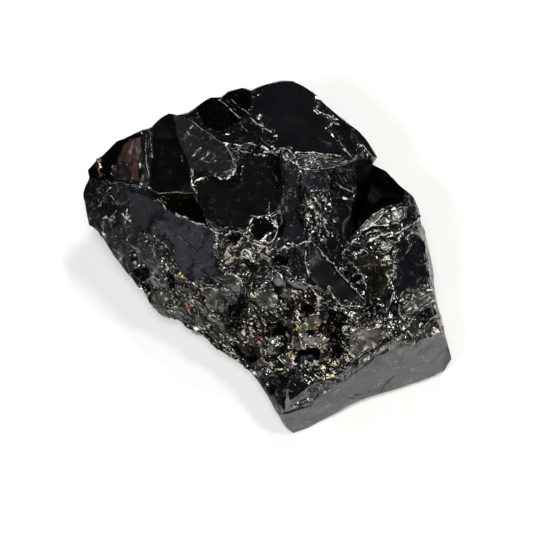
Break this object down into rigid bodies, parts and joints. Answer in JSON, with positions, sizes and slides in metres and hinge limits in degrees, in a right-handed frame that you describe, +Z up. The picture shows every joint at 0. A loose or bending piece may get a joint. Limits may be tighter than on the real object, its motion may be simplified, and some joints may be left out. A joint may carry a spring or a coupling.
{
  "type": "shungite nugget",
  "caption": "Raw lump of glossy black shungite with flat and shell-like breaks, ledges, pits and a flat end, lying on a flat break.",
  "frame": {"origin": "on the ground, below the middle of the stone's bounding box", "axes": "+Z up from the flat bed that the stone lies on, +X along its longest way from the rust-stained tip to the corner of the flat end, -Y towards the side that the broken face leans to"},
  "size_m": [0.0492, 0.0452, 0.0228],
  "materials": {
    "shungite": "glossy near-black natural break"
  },
  "bodies": {
    "root": {"nugget": "shungite"}
  },
  "joints": []
}
